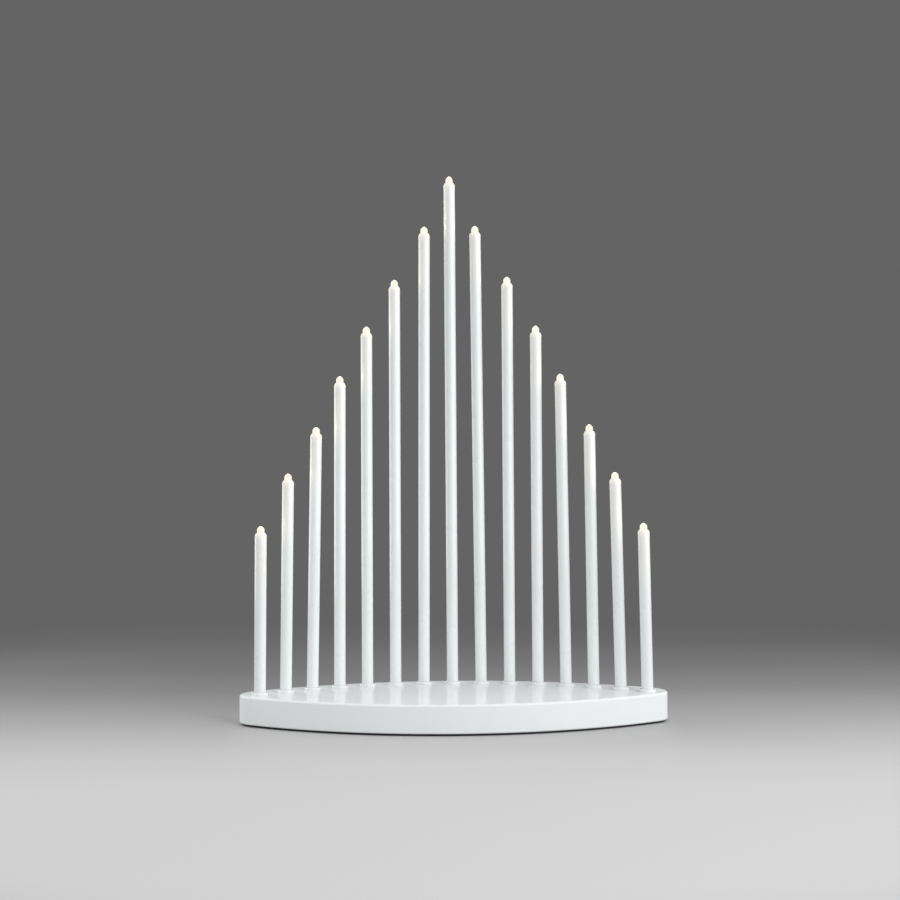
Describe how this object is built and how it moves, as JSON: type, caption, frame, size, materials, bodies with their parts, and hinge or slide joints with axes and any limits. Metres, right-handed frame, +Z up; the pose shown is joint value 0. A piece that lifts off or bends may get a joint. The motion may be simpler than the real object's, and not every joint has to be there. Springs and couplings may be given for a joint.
{
  "type": "electric advent candlestick",
  "caption": "Row of slim white tubes rising in steps to the middle, each with a small warm light at its tip, on a low lens-shaped base that holds the cells.",
  "frame": {"origin": "middle of the flat underside, on the table", "axes": "+Z up along the tubes, +X to the viewer's right along the row, +Y to the back, where the row of tubes stands"},
  "size_m": [0.289, 0.1066, 0.3747],
  "materials": {
    "lacquer": "gloss white lacquer over steel sheet",
    "tube_paint": "gloss white paint on thin steel tube",
    "socket_white": "white moulded plastic",
    "cap_milky": "milky translucent plastic",
    "light_warm": "clear epoxy, lit warm white",
    "black_plastic": "fine-grained black plastic",
    "knob_grey": "dark grey plastic",
    "cell_sleeve": "plain metallic sleeve",
    "contact_steel": "nickel-plated spring steel",
    "board_green": "green solder mask",
    "switch_steel": "tinned steel can",
    "wire_white": "white insulated wire"
  },
  "bodies": {
    "base": {"base_shell": "lacquer", "socket_rail": "socket_white", "bottom_plate": "black_plastic", "battery_cell_1": "cell_sleeve", "battery_cell_2": "cell_sleeve", "battery_cell_3": "cell_sleeve", "contact_negative": "contact_steel", "contact_bridge_1": "contact_steel", "contact_bridge_2": "contact_steel", "contact_positive": "contact_steel", "circuit_board": "board_green", "switch_housing": "switch_steel", "wiring_harness": "wire_white", "candle_tube_01": "tube_paint", "tip_cap_01": "cap_milky", "led_01": "light_warm", "candle_tube_02": "tube_paint", "tip_cap_02": "cap_milky", "led_02": "light_warm", "candle_tube_03": "tube_paint", "tip_cap_03": "cap_milky", "led_03": "light_warm", "candle_tube_04": "tube_paint", "tip_cap_04": "cap_milky", "led_04": "light_warm", "candle_tube_05": "tube_paint", "tip_cap_05": "cap_milky", "led_05": "light_warm", "candle_tube_06": "tube_paint", "tip_cap_06": "cap_milky", "led_06": "light_warm", "candle_tube_07": "tube_paint", "tip_cap_07": "cap_milky", "led_07": "light_warm", "candle_tube_08": "tube_paint", "tip_cap_08": "cap_milky", "led_08": "light_warm", "candle_tube_09": "tube_paint", "tip_cap_09": "cap_milky", "led_09": "light_warm", "candle_tube_10": "tube_paint", "tip_cap_10": "cap_milky", "led_10": "light_warm", "candle_tube_11": "tube_paint", "tip_cap_11": "cap_milky", "led_11": "light_warm", "candle_tube_12": "tube_paint", "tip_cap_12": "cap_milky", "led_12": "light_warm", "candle_tube_13": "tube_paint", "tip_cap_13": "cap_milky", "led_13": "light_warm", "candle_tube_14": "tube_paint", "tip_cap_14": "cap_milky", "led_14": "light_warm", "candle_tube_15": "tube_paint", "tip_cap_15": "cap_milky", "led_15": "light_warm"},
    "cover": {"battery_cover": "black_plastic"},
    "knob": {"switch_knob": "knob_grey"}
  },
  "joints": [
    {"name": "switch_slide", "type": "slide", "parent": "base", "child": "knob", "axis": [1, 0, 0], "range_m": [0, 0.004]},
    {"name": "cover_hinge", "type": "hinge", "parent": "base", "child": "cover", "pos_m": [-0.0271, -0.0225, 0.0013], "axis": [0, 1, 0], "range_deg": [0, 95]}
  ]
}
